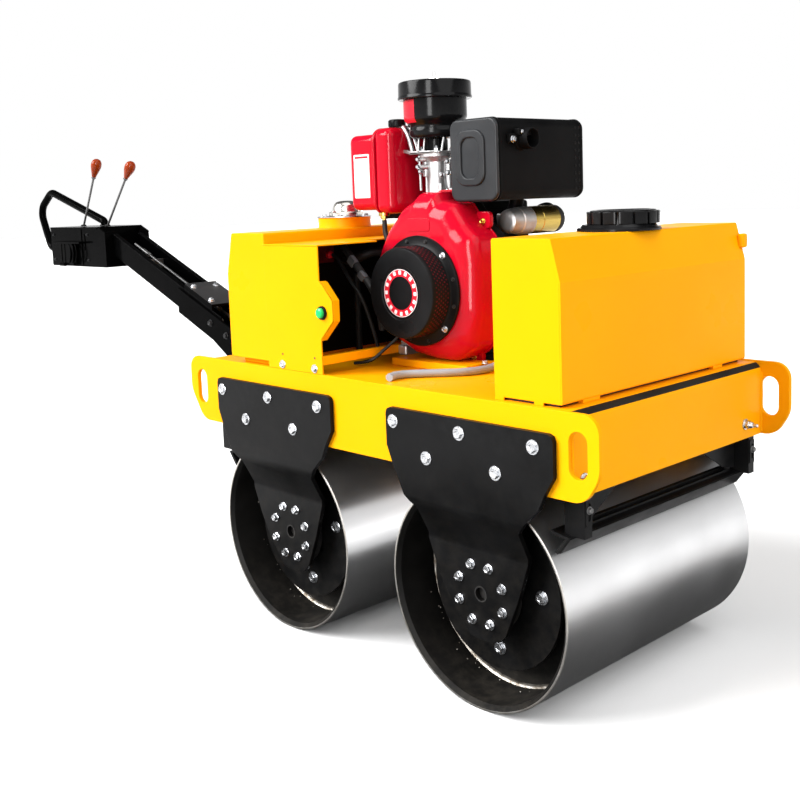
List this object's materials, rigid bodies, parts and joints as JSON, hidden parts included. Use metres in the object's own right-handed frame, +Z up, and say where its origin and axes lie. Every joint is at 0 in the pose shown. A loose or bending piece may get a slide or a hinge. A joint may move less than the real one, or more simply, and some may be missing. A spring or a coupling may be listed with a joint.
{
  "type": "walk-behind double drum roller",
  "caption": "Walk-behind roller with smooth steel drums, engine, water tank in front and a folding handle with control levers.",
  "frame": {"origin": "on the ground under the middle of the machine's box", "axes": "+X forward towards the water tank, +Y to the machine's left, +Z up"},
  "size_m": [2.6544, 0.666, 1.195],
  "materials": {
    "yellow_paint": "gloss yellow paint",
    "black_paint": "satin black paint",
    "red_paint": "gloss red paint",
    "drum_steel": "turned bare steel",
    "dark_steel": "dark casting",
    "cast_aluminium": "raw casting",
    "bright_steel": "plated steel",
    "black_plastic": "fine grained black plastic",
    "hose_rubber": "black hose",
    "grey_rubber": "grey hose",
    "green_plastic": "glossy green plastic",
    "orange_plastic": "glossy orange knobs on steel rods"
  },
  "bodies": {
    "chassis": {"frame_side_left": "yellow_paint", "frame_side_right": "yellow_paint", "chassis_deck": "yellow_paint", "water_tank": "yellow_paint", "oil_tank_housing": "yellow_paint", "oil_filler_neck": "yellow_paint", "compartment_panel_left": "yellow_paint", "compartment_panel_right": "yellow_paint", "compartment_roof": "yellow_paint", "compartment_cross_bar": "yellow_paint", "engine_mount": "yellow_paint", "drum_bracket_front_left": "black_paint", "drum_bracket_front_right": "black_paint", "drum_bracket_rear_left": "black_paint", "drum_bracket_rear_right": "black_paint", "front_scraper": "black_paint", "rear_scraper": "black_paint", "handle_mount": "black_paint", "engine_block": "black_paint", "muffler": "black_paint", "belt_guard": "black_paint", "engine_fan_shroud": "red_paint", "fuel_tank": "red_paint", "drum_hub_front_left": "dark_steel", "drum_hub_front_right": "dark_steel", "drum_hub_rear_left": "dark_steel", "drum_hub_rear_right": "dark_steel", "hydraulic_pump": "dark_steel", "intake_casting": "cast_aluminium", "starter_motor": "cast_aluminium", "oil_breather_cap": "bright_steel", "handle_pin": "bright_steel", "water_tank_cap": "black_plastic", "recoil_starter": "black_plastic", "fuel_cap": "black_plastic", "air_cleaner": "black_plastic", "pump_hose": "hose_rubber", "deck_drain_hose": "grey_rubber", "start_button": "green_plastic"},
    "handle": {"handle_base": "black_paint", "handle_arm": "black_paint", "handle_top_plate": "black_paint", "control_box": "black_paint", "control_rods": "bright_steel", "grab_loop": "black_paint", "drive_lever": "orange_plastic", "throttle_lever": "orange_plastic"},
    "front_roller": {"front_drum": "drum_steel", "front_drum_axle": "black_paint"},
    "rear_roller": {"rear_drum": "drum_steel", "rear_drum_axle": "black_paint"}
  },
  "joints": [
    {"name": "front_drum_spin", "type": "hinge", "parent": "chassis", "child": "front_roller", "pos_m": [1.03269, 0, 0.2125], "axis": [0, 1, 0], "continuous": true},
    {"name": "rear_drum_spin", "type": "hinge", "parent": "chassis", "child": "rear_roller", "pos_m": [0.4677, 0, 0.2125], "axis": [0, 1, 0], "continuous": true},
    {"name": "handle_fold", "type": "hinge", "parent": "chassis", "child": "handle", "pos_m": [0.1102, 0, 0.515], "axis": [0, 1, 0], "range_deg": [0, 69]}
  ]
}
